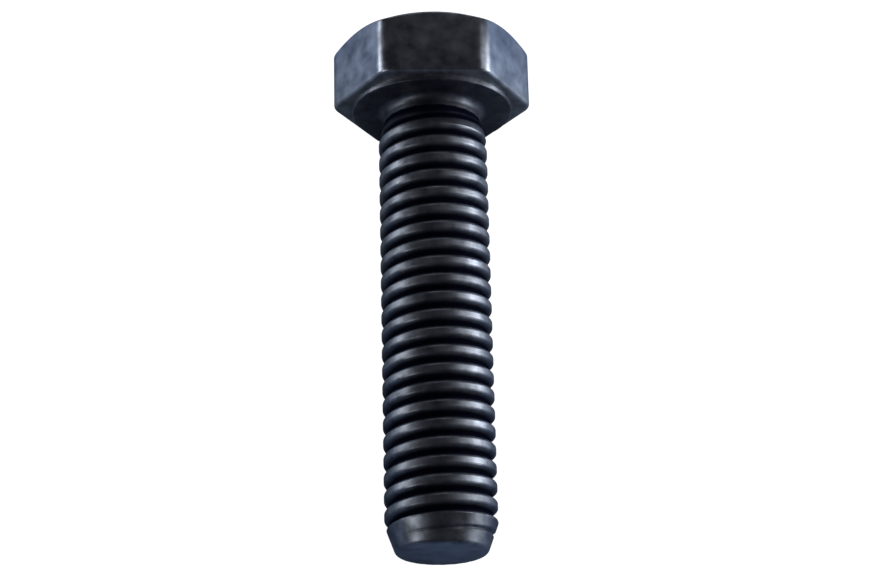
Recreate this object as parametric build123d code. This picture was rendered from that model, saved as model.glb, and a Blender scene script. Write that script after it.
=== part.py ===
from build123d import *
from build123d.topology import SkipClean
from math import atan, degrees, floor, radians, tan
import os

# Hex head screw, M6 x 25, threaded to the head, cold headed and rolled from one piece of steel.
# It is built on its own axis, bearing face at zero, head upward, and laid on its side at the end.
# All sizes are in millimetres and degrees.

# Thread: right hand, single start
pitch = 1.0
major_dia = 5.95
thread_depth = 0.42       # crest to root, where the two flanks meet
crest_width = 0.35
thread_phase = 0.40       # height of the first crest above the bearing face, over +X
steps_per_turn = 5        # wall faces in each turn of the crest and of each flank

# Shank
length = 25.1             # bearing face to end face
neck_rise = 0.095         # of the plain neck's surface, the rolling blank, above the thread's roots
neck_length = 0.68
runout_length = 1.2       # over which the ridges grow to their full height
end_dia = 4.80
end_angle = 20.0          # of the end chamfer, from the axis
end_edge = 0.15           # height of the broken edge between end chamfer and end face
underhead_radius = 0.40

# Head
across_flats = 9.64
corner_radius = 1.0
head_height = 3.95        # bearing face to top
washer_dia = 8.80
washer_height = 0.30
top_dia = 9.15            # flat circle left by the top chamfer
top_angle = 30.0          # of the top chamfer, from the top face

# Values that follow from the sizes above
crest_r = major_dia / 2
root_r = crest_r - thread_depth
neck_r = root_r + neck_rise
end_r = end_dia / 2
crest_half = crest_width / 2
foot_half = pitch / 2
step_rise = pitch / steps_per_turn
step_turn = 360 / steps_per_turn
spare = thread_depth      # how far a tool reaches past the metal that it trims


def helix_step(radius, height):
    """One step of a right-hand helix, which starts over +X at this height."""
    return Edge.make_helix(pitch, step_rise, radius, center=(0, 0, height))


def band(radius, low, high):
    """One step of a helical band on the cylinder of this radius, between two heights."""
    lower, upper = helix_step(radius, low), helix_step(radius, high)
    start, end = (Edge.make_line(lower @ at, upper @ at) for at in (0, 1))
    seam_behind = Plane(origin=(0, 0, low - pitch), x_dir=(-1, 0, 0))
    cylinder = Solid.make_cylinder(radius, high - low + 3 * pitch, seam_behind)
    wall = cylinder.faces().filter_by(GeomType.CYLINDER)[0]
    return wall.split_by_perimeter(Wire([lower, end, upper, start]), Keep.INSIDE)


def flank(side):
    """One step of the thread's flank above (1) or below (-1) the crest."""
    crest = helix_step(crest_r, side * crest_half)
    foot = helix_step(root_r, side * foot_half)
    return Face.make_surface_from_curves(crest, foot)


def screwed(face, height, steps):
    """Copies of a face along the thread, one for each step, starting at this height."""
    places = [
        Location((0, 0, height + step * step_rise), (0, 0, step * step_turn))
        for step in range(steps)
    ]
    return [face.moved(place) for place in places]


def rod_end(height):
    """The spiral ramp and the radial step that close an end of the threaded rod."""
    ramp = Face.make_surface_from_curves(
        Edge.make_line((0, 0, -foot_half), (0, 0, step_rise - foot_half)),
        helix_step(root_r, -foot_half),
    )
    tooth = [
        (root_r, 0, -foot_half),
        (crest_r, 0, -crest_half),
        (crest_r, 0, crest_half),
        (root_r, 0, foot_half),
    ]
    core = [
        (0, 0, step * step_rise - foot_half)
        for step in range(steps_per_turn, -1, -1)
    ]
    step_face = Face(Wire.make_polygon(tooth + core, close=True))
    return screwed(ramp, height, steps_per_turn) + [step_face.moved(Pos(0, 0, height))]


def threaded_rod():
    """The full thread, from below the end face to above the bearing face, sewn from its faces."""
    turns = floor(length / pitch + thread_phase / pitch) + 3
    bottom = thread_phase - (turns - 1) * pitch
    wall = [
        band(crest_r, -crest_half, crest_half),
        flank(1),
        flank(-1),
    ]
    faces = [copy for face in wall for copy in screwed(face, bottom, turns * steps_per_turn)]
    return Solid(Shell(faces + rod_end(bottom) + rod_end(bottom + turns * pitch)))


def turned(outline):
    """The solid turned from an outline of (radius, height) points, edges or both."""
    return revolve(Plane.XZ * make_face(outline), Axis.Z)


def rolled_limits():
    """What the thread is rolled into: broken end, end chamfer, full crests and run-out cone."""
    outer_r = crest_r + spare
    runout_slope = runout_length / (crest_r - neck_r)
    end_slope = tan(radians(end_angle))
    top = -neck_length + spare
    return turned(
        Polyline(
            (0, -length),
            (end_r - end_edge, -length),
            (end_r + end_edge * end_slope, -length + end_edge),
            (outer_r, -length + (outer_r - end_r) / end_slope),
            (outer_r, -neck_length - (outer_r - neck_r) * runout_slope),
            (neck_r - spare / runout_slope, top),
            (0, top),
            close=True,
        )
    )


def neck_and_washer():
    """The plain neck, which sinks into the thread's roots, its fillet and the washer face."""
    fillet_r = neck_r + underhead_radius
    sink = runout_length * (neck_rise + spare) / neck_rise
    below = Polyline(
        (0, -neck_length - sink),
        (root_r - spare, -neck_length - sink),
        (neck_r, -neck_length),
        (neck_r, -underhead_radius),
    )
    fillet_curve = Bezier((neck_r, -underhead_radius), (neck_r, 0), (fillet_r, 0))
    above = Polyline(
        (fillet_r, 0),
        (washer_dia / 2, 0),
        (washer_dia / 2, 2 * washer_height),
        (0, 2 * washer_height),
        (0, -neck_length - sink),
    )
    return turned(below + fillet_curve + above)


def head():
    """The hexagon, its corners rounded, with the turned chamfer round its top."""
    hexagon = fillet(RegularPolygon(across_flats / 2, 6, major_radius=False).vertices(), corner_radius)
    prism = Pos(0, 0, washer_height) * extrude(hexagon, head_height - washer_height)
    chamfer_drop = (across_flats - top_dia / 2) * tan(radians(top_angle))
    cap = turned(
        Polyline(
            (0, 0),
            (across_flats, 0),
            (across_flats, head_height - chamfer_drop),
            (top_dia / 2, head_height),
            (0, head_height),
            close=True,
        )
    )
    return prism & cap


def lying():
    """Head towards +Y and a flat upward, on the opposite flat's edge and the last full crest."""
    last_crest = length - (crest_r - end_r) / tan(radians(end_angle))
    tilt = degrees(atan((across_flats / 2 - crest_r) / (last_crest + washer_height)))
    return Rot(tilt - 90, 0, 0)


def hex_head_screw():
    # The faces stay as they are: merged, the bands of neighbouring turns would be one face
    with SkipClean():
        shank = threaded_rod() & rolled_limits()
        return lying() * (head() + (shank + neck_and_washer()))


os.makedirs("parts", exist_ok=True)
export_step(hex_head_screw(), "parts/hex_head_screw.step")
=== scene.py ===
from math import atan, cos, pi, radians, sin, sqrt, tan

import bpy
from mathutils import Matrix, Vector


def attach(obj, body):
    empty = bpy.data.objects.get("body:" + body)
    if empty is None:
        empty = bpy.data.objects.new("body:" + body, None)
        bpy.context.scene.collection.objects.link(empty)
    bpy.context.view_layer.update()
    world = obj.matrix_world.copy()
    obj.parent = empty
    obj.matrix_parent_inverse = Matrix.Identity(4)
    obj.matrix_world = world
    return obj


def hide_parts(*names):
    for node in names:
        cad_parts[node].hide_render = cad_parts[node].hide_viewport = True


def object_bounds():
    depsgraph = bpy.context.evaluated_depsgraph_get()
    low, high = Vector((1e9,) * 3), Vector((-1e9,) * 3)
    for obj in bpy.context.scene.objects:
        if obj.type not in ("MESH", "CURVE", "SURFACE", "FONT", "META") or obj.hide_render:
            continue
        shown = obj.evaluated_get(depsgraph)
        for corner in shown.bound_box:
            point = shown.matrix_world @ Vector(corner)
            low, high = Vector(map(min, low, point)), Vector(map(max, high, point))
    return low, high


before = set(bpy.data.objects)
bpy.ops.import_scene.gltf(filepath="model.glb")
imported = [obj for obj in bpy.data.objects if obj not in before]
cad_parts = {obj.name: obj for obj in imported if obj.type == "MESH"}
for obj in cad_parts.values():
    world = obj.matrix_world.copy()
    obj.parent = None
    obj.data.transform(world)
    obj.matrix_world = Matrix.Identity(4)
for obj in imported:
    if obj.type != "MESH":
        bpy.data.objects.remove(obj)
cad_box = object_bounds()

# Sizes in millimetres and degrees, as the CAD solid has them, but with the flanks at the angle of
# a rolled thread, wider crests, and edges and roots rounded. The screw is shaped on its own axis,
# bearing face at zero and head upward, then laid down.
MM = 0.001
PITCH = 1.0
CREST_R = 2.975
THREAD_DEPTH = 0.46       # the flanks meet a little before it, and rounding takes off 0.1 more
CREST_HALF = 0.24         # half of the flat crest, before it is rounded
FLANK_ANGLE = 30.0        # of each flank from square to the axis
PROFILE_ROUNDING = 0.20   # axial width over which crest and root are rounded
THREAD_PHASE = 0.40       # height of the first crest above the bearing face, over +X
LENGTH = 25.1
NECK_R = 2.65
NECK_LENGTH = 0.68
RUNOUT_LENGTH = 1.2       # over which the ridges grow to their full height
END_R = 2.40
END_ANGLE = 20.0          # of the end chamfer, from the axis
END_ROUNDING = 0.22
UNDERHEAD_RADIUS = 0.40
FLAT_R = 4.82             # axis to flat
CORNER_RADIUS = 1.01      # a hair over the solid's, so that the facets stay inside it
HEAD_HEIGHT = 3.95
WASHER_R = 4.40
WASHER_HEIGHT = 0.30
WASHER_ROUNDING = 0.07
TOP_R = 4.575
TOP_ANGLE = 30.0
EDGE_ROUNDING = 0.13      # round the top
LOWER_ROUNDING = 0.20     # round the hexagon's underside
END_SLOPE = tan(radians(END_ANGLE))
LAST_CREST = LENGTH - (CREST_R - END_R) / END_SLOPE
TILT = atan((FLAT_R - CREST_R) / (LAST_CREST + WASHER_HEIGHT))

# Specular levels. The crests' level falls off downwards, to nothing at THREAD_DEPTH / GLOSS_FALL: painted
# shade in the thread's roots.
HEAD_GLOSS = 0.80
CREST_GLOSS = 0.50
NECK_GLOSS = 0.25
GLOSS_FALL = 1.9

# Mesh density
AROUND = 120              # of the shank; the head has twice as many
ROWS_PER_TURN = 22
ROUNDING_STEPS = 4
PROFILE_SAMPLES = 7
END_RING = 0.9            # of the end face's radius, for a ring that holds its edge


def lying():
    """From the screw's own axes to the frame: head towards +Y, a flat upward."""
    return Matrix(((1, 0, 0), (0, sin(TILT), cos(TILT)), (0, -cos(TILT), sin(TILT)))).to_4x4()


# ---------- mesh ----------

def ridge(offset):
    """Radius of the thread this far, in height, from the middle of a crest."""
    from_crest = abs((offset + PITCH / 2) % PITCH - PITCH / 2)
    drop = (from_crest - CREST_HALF) / tan(radians(FLANK_ANGLE))
    return CREST_R - min(max(drop, 0), THREAD_DEPTH)


def rounded_ridge(offset):
    """The same with crest and root rounded: the ridge's mean over a short way up and down."""
    steps = [PROFILE_ROUNDING * (n / (PROFILE_SAMPLES - 1) - 0.5) for n in range(PROFILE_SAMPLES)]
    return sum(ridge(offset + step) for step in steps) / PROFILE_SAMPLES


def chamfer_radius(height):
    """Radius of the end chamfer, whose edge with the end face is rounded."""
    above_end = height + LENGTH
    chamfer = END_R + above_end * END_SLOPE
    if above_end < END_ROUNDING:
        chamfer -= END_ROUNDING - sqrt(END_ROUNDING ** 2 - (END_ROUNDING - above_end) ** 2)
    return chamfer


def shank_radius(turn, height):
    """Radius of the shank at this part of a turn, round from +X, and at this height."""
    thread = rounded_ridge(height - THREAD_PHASE - PITCH * turn)
    runout = NECK_R + (-NECK_LENGTH - height) * (CREST_R - NECK_R) / RUNOUT_LENGTH
    floor_r = NECK_R - max(-NECK_LENGTH - height, 0) * THREAD_DEPTH / (2 * RUNOUT_LENGTH)
    radius = max(min(thread, runout), min(floor_r, NECK_R))
    return min(radius, chamfer_radius(height))


def shank_rows():
    """Rings of the shank that follow the thread, cut off level at both ends."""
    low, high = -LENGTH, -UNDERHEAD_RADIUS
    points, index = [], {}
    rows = range(-ROWS_PER_TURN, int((high - low) / PITCH * ROWS_PER_TURN) + 2)
    for i in range(AROUND):
        turn = i / AROUND
        for j in rows:
            height = min(max(low + PITCH * (j / ROWS_PER_TURN + turn), low), high)
            key = (i, height) if height in (low, high) else (i, j)
            if key not in index:
                index[key] = len(points)
                radius = shank_radius(turn, height)
                points.append((radius * cos(2 * pi * turn), radius * sin(2 * pi * turn), height))
            index[i, j] = index[key]
    faces = []
    for i in range(AROUND):
        after, shift = (i + 1, 0) if i + 1 < AROUND else (0, ROWS_PER_TURN)
        for j in list(rows)[:-1]:
            if (after, j + 1 + shift) not in index:
                continue
            corners = [index[i, j], index[after, j + shift], index[after, j + 1 + shift], index[i, j + 1]]
            corners = list(dict.fromkeys(corners))
            if len(corners) > 2:
                faces.append(corners)
    ends = [[index[i, end] for i in range(AROUND)] for end in (low, high)]
    return points, faces, ends


def hexagon_radius(angle):
    """From the axis to the rounded hexagon's outline."""
    sixth = pi / 3
    from_flat = abs((angle + sixth / 2 + pi / 6) % sixth - sixth / 2)
    if tan(from_flat) * FLAT_R <= (FLAT_R - CORNER_RADIUS) * tan(pi / 6):
        return FLAT_R / cos(from_flat)
    centre = (FLAT_R - CORNER_RADIUS) / cos(pi / 6)
    from_corner = pi / 6 - from_flat
    return centre * cos(from_corner) + sqrt(CORNER_RADIUS ** 2 - (centre * sin(from_corner)) ** 2)


def arc(centre, radius, start, end):
    """Points of an arc in (radius, height) without its first one, angles in degrees from outward."""
    angles = [radians(start + (end - start) * n / ROUNDING_STEPS) for n in range(1, ROUNDING_STEPS + 1)]
    return [(centre[0] + radius * cos(a), centre[1] + radius * sin(a)) for a in angles]


def head_outline(reach):
    """Outline of the head, in (radius, height), where the hexagon reaches this far from the axis."""
    fillet_r = NECK_R + UNDERHEAD_RADIUS
    slope = tan(radians(TOP_ANGLE))
    shoulder = HEAD_HEIGHT - (reach - TOP_R) * slope
    soft = EDGE_ROUNDING
    cut = soft * tan(radians(90 - TOP_ANGLE) / 2)
    top_cut = soft * tan(radians(TOP_ANGLE) / 2)
    points = arc((fillet_r, -UNDERHEAD_RADIUS), UNDERHEAD_RADIUS, 180, 90)
    points += [(0.5 * (fillet_r + WASHER_R), 0), (WASHER_R - WASHER_ROUNDING, 0)]
    points += arc((WASHER_R - WASHER_ROUNDING, WASHER_ROUNDING), WASHER_ROUNDING, -90, 0)
    points += [(WASHER_R, WASHER_HEIGHT), (reach - LOWER_ROUNDING, WASHER_HEIGHT)]
    points += arc((reach - LOWER_ROUNDING, WASHER_HEIGHT + LOWER_ROUNDING), LOWER_ROUNDING, -90, 0)
    points += [(reach, shoulder - cut)]
    points += arc((reach - soft, shoulder - cut), soft, 0, 90 - TOP_ANGLE)
    points += [(TOP_R + top_cut * cos(radians(TOP_ANGLE)), HEAD_HEIGHT - top_cut * sin(radians(TOP_ANGLE)))]
    points += arc((TOP_R - top_cut, HEAD_HEIGHT - soft), soft, 90 - TOP_ANGLE, 90)
    return points + [(0.6 * TOP_R, HEAD_HEIGHT), (0.2 * TOP_R, HEAD_HEIGHT)]


def screw_mesh():
    """Points and faces of the whole screw: the shank, its end face, and the head round its neck."""
    points, faces, (end_ring, neck_ring) = shank_rows()
    # end face
    inner = len(points)
    for i in range(AROUND):
        x, y, z = points[end_ring[i]]
        points.append((END_RING * x, END_RING * y, z))
    for i in range(AROUND):
        after = (i + 1) % AROUND
        faces.append([end_ring[i], inner + i, inner + after, end_ring[after]])
    faces.append([inner + i for i in reversed(range(AROUND))])
    # head
    rings = []
    outlines = [head_outline(hexagon_radius(pi * i / AROUND)) for i in range(2 * AROUND)]
    for step in range(len(outlines[0])):
        rings.append(range(len(points), len(points) + 2 * AROUND))
        for i, outline in enumerate(outlines):
            radius, height = outline[step]
            points.append((radius * cos(pi * i / AROUND), radius * sin(pi * i / AROUND), height))
    for i in range(AROUND):
        after = (i + 1) % AROUND
        first, middle, last = (rings[0][(2 * i + n) % (2 * AROUND)] for n in range(3))
        faces += [
            [neck_ring[i], middle, first],
            [neck_ring[i], neck_ring[after], middle],
            [neck_ring[after], last, middle],
        ]
    for below, above in zip(rings, rings[1:]):
        for i in range(2 * AROUND):
            after = (i + 1) % (2 * AROUND)
            faces.append([below[i], below[after], above[after], above[i]])
    faces.append(list(rings[-1]))
    return points, faces


def gloss_and_root_shade(point):
    """Specular level here: the flats, rubbed by the tools, shine most; the fall to nothing in the thread's
    roots is painted shade.
    """
    x, y, z = point
    if z > WASHER_HEIGHT - WASHER_ROUNDING:
        return HEAD_GLOSS
    if z > -NECK_LENGTH:
        return NECK_GLOSS
    if z < -LENGTH + END_ROUNDING:
        return CREST_GLOSS
    # painted shade: the specular level falls to nothing towards the thread's roots
    depth = (min(CREST_R, chamfer_radius(z)) - sqrt(x * x + y * y)) / THREAD_DEPTH
    return CREST_GLOSS * (1 - min(max(GLOSS_FALL * depth, 0), 1))


def screw_piece():
    points, faces = screw_mesh()
    mesh = bpy.data.meshes.new("screw_body")
    mesh.from_pydata([(x * MM, y * MM, z * MM) for x, y, z in points], [], faces)
    mesh.attributes.new("gloss_and_root_shade", "FLOAT", "POINT").data.foreach_set("value", [gloss_and_root_shade(p) for p in points])
    mesh.transform(lying())
    mesh.shade_smooth()
    mesh.set_sharp_from_angle(angle=radians(40))
    piece = bpy.data.objects.new("screw_body", mesh)
    bpy.context.scene.collection.objects.link(piece)
    return piece


screw = screw_piece()
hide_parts("hex_head_screw")
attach(screw, "root")


# ---------- camera ----------

CREST_D = 2 * CREST_R
CAMERA_RISE = radians(20.27)      # the camera looks up at the head by this much, off square
CAMERA_TURN = radians(2.28)       # round the screw's axis
CAMERA_ROLL = radians(-1.312)
CAMERA_DISTANCE = 21.559 * CREST_D * MM
FOCAL = 2.744977                  # in widths of the picture
CAMERA_SHIFT = (-0.001713, 0.02292)
AIM_HEIGHT = WASHER_HEIGHT - 2 * CREST_D


def camera():
    spin = Matrix.Rotation(-CAMERA_TURN, 3, "Z")
    forward = spin @ Vector((0, cos(CAMERA_RISE), sin(CAMERA_RISE)))
    across = spin @ Vector((1, 0, 0))
    down = forward.cross(across)
    c, s = cos(CAMERA_ROLL), sin(CAMERA_ROLL)
    axes = (across * c - down * s, -(across * s + down * c), -forward)
    place = Matrix([list(axis) for axis in axes]).transposed().to_4x4()
    place.translation = Vector((0, 0, AIM_HEIGHT * MM)) - forward * CAMERA_DISTANCE
    data = bpy.data.cameras.new("camera")
    data.sensor_width = 36
    data.lens = FOCAL * data.sensor_width
    data.shift_x, data.shift_y = CAMERA_SHIFT
    data.clip_start = 0.001
    view = bpy.data.objects.new("camera", data)
    view.matrix_world = lying() @ place
    bpy.context.scene.collection.objects.link(view)
    bpy.context.scene.camera = view


camera()
bpy.context.scene.view_settings.view_transform = "Standard"


# ---------- materials ----------

def new_material(name):
    material = bpy.data.materials.new(name)
    material.use_nodes = True
    tree = material.node_tree
    return material, tree, tree.nodes["Principled BSDF"]


def node(tree, kind, inputs=None, **settings):
    """A shader node with its settings and the values or links of its inputs."""
    made = tree.nodes.new(kind)
    for name, value in settings.items():
        setattr(made, name, value)
    for name, value in (inputs or {}).items():
        if isinstance(value, bpy.types.NodeSocket):
            tree.links.new(value, made.inputs[name])
        else:
            made.inputs[name].default_value = value
    return made


def arithmetic(tree, operation, *values):
    """One step on numbers and links."""
    return node(tree, "ShaderNodeMath", dict(enumerate(values)), operation=operation).outputs[0]


def noise(tree, place, scale, detail):
    """A noise with this many features a metre, as a link."""
    settings = {"Vector": place, "Scale": scale, "Detail": detail}
    return node(tree, "ShaderNodeTexNoise", settings).outputs["Fac"]


def ramp(tree, value, start, end, low=0.0, high=1.0):
    """From low to high while the value goes from start to end."""
    limits = {"From Min": start, "From Max": end, "To Min": low, "To Max": high}
    return node(tree, "ShaderNodeMapRange", {"Value": value, **limits}).outputs["Result"]


def blend(tree, factor, first, second):
    """A colour between two, each a colour or a link."""
    mixed = {"Factor": factor, "A": first, "B": second}
    return node(tree, "ShaderNodeMix", mixed, data_type="RGBA").outputs["Result"]


NOISE_RANGE = (0.3, 0.7)          # within which nearly all of a noise lies
ROUGHNESS = (0.37, 0.47)
HEAD_SMOOTHER = 0.08
MOTTLING = (0.5, 1.5)             # share of the specular level that the oil leaves
MARK_LENGTH = 25                  # of the drawing marks, in their widths
METAL_IOR = 2.1


def black_oxide():
    """Oiled black oxide: mottled, with drawing marks along the head and a fine grain all over."""
    material, tree, shader = new_material("black_oxide")
    place = node(tree, "ShaderNodeTexCoord").outputs["Object"]
    on_axis = node(tree, "ShaderNodeMapping", {"Vector": place}, vector_type="TEXTURE")
    on_axis.inputs["Rotation"].default_value = (TILT, 0, 0)
    on_axis.inputs["Scale"].default_value = (1, MARK_LENGTH, 1)
    blotches = noise(tree, place, 700.0, 6.0)
    marks = noise(tree, on_axis.outputs[0], 9000.0, 4.0)
    grain = noise(tree, place, 7000.0, 4.0)
    patches = noise(tree, place, 1300.0, 5.0)

    along = node(tree, "ShaderNodeSeparateXYZ", {"Vector": place}).outputs["Y"]
    on_head = arithmetic(tree, "GREATER_THAN", along, 0.0)
    relief = arithmetic(tree, "ADD", grain, arithmetic(tree, "MULTIPLY", marks, on_head))
    bump = node(tree, "ShaderNodeBump", {"Height": relief, "Strength": 0.25, "Distance": 0.00001})
    tree.links.new(bump.outputs["Normal"], shader.inputs["Normal"])

    rough = ramp(tree, blotches, *NOISE_RANGE, *ROUGHNESS)
    smoother = arithmetic(tree, "MULTIPLY", on_head, HEAD_SMOOTHER)
    tree.links.new(arithmetic(tree, "SUBTRACT", rough, smoother), shader.inputs["Roughness"])

    # The rougher, the paler
    tint = blend(tree, rough, (0.0015, 0.0022, 0.007, 1), (0.004, 0.004, 0.0075, 1))
    tree.links.new(tint, shader.inputs["Base Color"])

    # specular level per point: rubbed flats, and painted shade in the thread's roots
    level = node(tree, "ShaderNodeAttribute", attribute_name="gloss_and_root_shade").outputs["Fac"]
    shine = arithmetic(tree, "MULTIPLY", level, ramp(tree, patches, *NOISE_RANGE, *MOTTLING))
    tree.links.new(shine, shader.inputs["Specular IOR Level"])
    shader.inputs["IOR"].default_value = METAL_IOR
    return material


screw.data.materials.append(black_oxide())


# ---------- floor, light and background ----------

FLOOR_Z = cad_box[0][2]
LIGHT_BLUE = (0.78, 0.86, 1.0)

# How the screw sees the floor, in metres: a painted shadow below the shank, pale from a little way off, and
# painted light beside the head
SHADOW_HALF_WIDTH = 0.0025
SHADOW_STOP = 0.004                 # how far before the end face the painted shadow stops
PALE_WITHIN = 0.008
PAINTED_LIGHT_Y = -0.003                 # beside the head, where the painted light is palest
PAINTED_LIGHT_REACH = (0.012, 0.003)     # how far from there the painted light begins, and is complete


def floor_material():
    """White to the camera, with the lamps' light and shade on it; to the rest a dim studio floor with a
    painted shadow under the shank and painted light beside the head.
    """
    material, tree, shader = new_material("floor")
    tree.nodes.remove(shader)
    seen = node(tree, "ShaderNodeLightPath").outputs["Is Camera Ray"]
    glow = node(tree, "ShaderNodeEmission", {"Color": (1, 1, 1, 1), "Strength": 0.97})
    lit = node(tree, "ShaderNodeBsdfDiffuse", {"Color": (0.35, 0.35, 0.35, 1)})
    white = node(tree, "ShaderNodeAddShader")
    tree.links.new(glow.outputs[0], white.inputs[0])
    tree.links.new(lit.outputs[0], white.inputs[1])

    point = node(tree, "ShaderNodeTexCoord").outputs["Object"]
    place = node(tree, "ShaderNodeSeparateXYZ", {"Vector": point})
    aside = arithmetic(tree, "ABSOLUTE", place.outputs["X"])
    beside = arithmetic(tree, "SUBTRACT", aside, SHADOW_HALF_WIDTH)
    beyond = arithmetic(tree, "SUBTRACT", cad_box[0][1] + SHADOW_STOP, place.outputs["Y"])
    pale = ramp(tree, arithmetic(tree, "MAXIMUM", beside, beyond), 0.0, PALE_WITHIN)
    from_head = arithmetic(tree, "ABSOLUTE", arithmetic(tree, "SUBTRACT", place.outputs["Y"], PAINTED_LIGHT_Y))
    painted_light = ramp(tree, from_head, *PAINTED_LIGHT_REACH)
    # painted light: a paler floor tone beside the head, seen in the head's reflections
    far = blend(tree, painted_light, (0.48, 0.65, 0.97, 1), (0.74, 0.86, 1.0, 1))
    # painted shadow: a dark floor tone below the shank, seen in the thread's reflections
    tone = blend(tree, pale, (0.06, 0.065, 0.09, 1), far)
    dim = node(tree, "ShaderNodeBsdfDiffuse", {"Color": tone})

    mix = node(tree, "ShaderNodeMixShader", {"Fac": seen})
    tree.links.new(dim.outputs[0], mix.inputs[1])
    tree.links.new(white.outputs[0], mix.inputs[2])
    tree.links.new(mix.outputs[0], tree.nodes["Material Output"].inputs["Surface"])
    return material


def floor():
    half = 0.6
    mesh = bpy.data.meshes.new("floor")
    corners = [(-half, -half), (half, -half), (half, half), (-half, half)]
    mesh.from_pydata([(x, y, FLOOR_Z) for x, y in corners], [], [(0, 1, 2, 3)])
    mesh.materials.append(floor_material())
    ground = bpy.data.objects.new("floor", mesh)
    bpy.context.scene.collection.objects.link(ground)


def softbox(name, round_axis, towards_head, distance, size, power, height):
    """An area lamp that faces the screw's axis at this height, all in millimetres and watts.

    It stands round the axis from the upper side, plus to the right, and then towards the head,
    both in degrees.
    """
    a, b = radians(round_axis), radians(towards_head)
    out = Vector((sin(a) * cos(b), -cos(a) * cos(b), sin(b)))
    aim = lying() @ Vector((0, 0, height * MM))
    data = bpy.data.lights.new(name, "AREA")
    data.shape = "RECTANGLE"
    data.size, data.size_y = (side * MM for side in size)
    data.energy = power
    data.color = LIGHT_BLUE
    lamp = bpy.data.objects.new(name, data)
    direction = lying().to_3x3() @ out
    along = lying().to_3x3() @ Vector((0, 0, 1))
    across = along.cross(direction).normalized()
    turn = Matrix([list(across), list(direction.cross(across)), list(direction)]).transposed().to_4x4()
    turn.translation = aim + direction * distance * MM
    lamp.matrix_world = turn
    bpy.context.scene.collection.objects.link(lamp)


def background():
    """A white world to the camera, and a dim one to the screw."""
    world = bpy.data.worlds.new("studio")
    world.use_nodes = True
    tree = world.node_tree
    seen = node(tree, "ShaderNodeLightPath").outputs["Is Camera Ray"]
    colour = node(tree, "ShaderNodeMix", {"Factor": seen}, data_type="RGBA")
    colour.inputs["A"].default_value = (0.045, 0.045, 0.055, 1)
    colour.inputs["B"].default_value = (1, 1, 1, 1)
    tree.links.new(colour.outputs["Result"], tree.nodes["Background"].inputs["Color"])
    bpy.context.scene.world = world


floor()
background()
softbox("right", 85, 0, 70, (40, 44), 0.067, 3)
softbox("left", -81, 0, 70, (28, 40), 0.018, 7)
softbox("tip_right", 82, 0, 70, (16, 20), 0.011, -46)
softbox("tip_left", -62, 0, 70, (16, 20), 0.013, -46)
softbox("right_fill", 52, 0, 80, (30, 44), 0.010, 16)
softbox("left_face", -86, 28, 70, (16, 26), 0.007, 2)
softbox("head_side", 4, 66, 80, (56, 24), 0.005, -14)
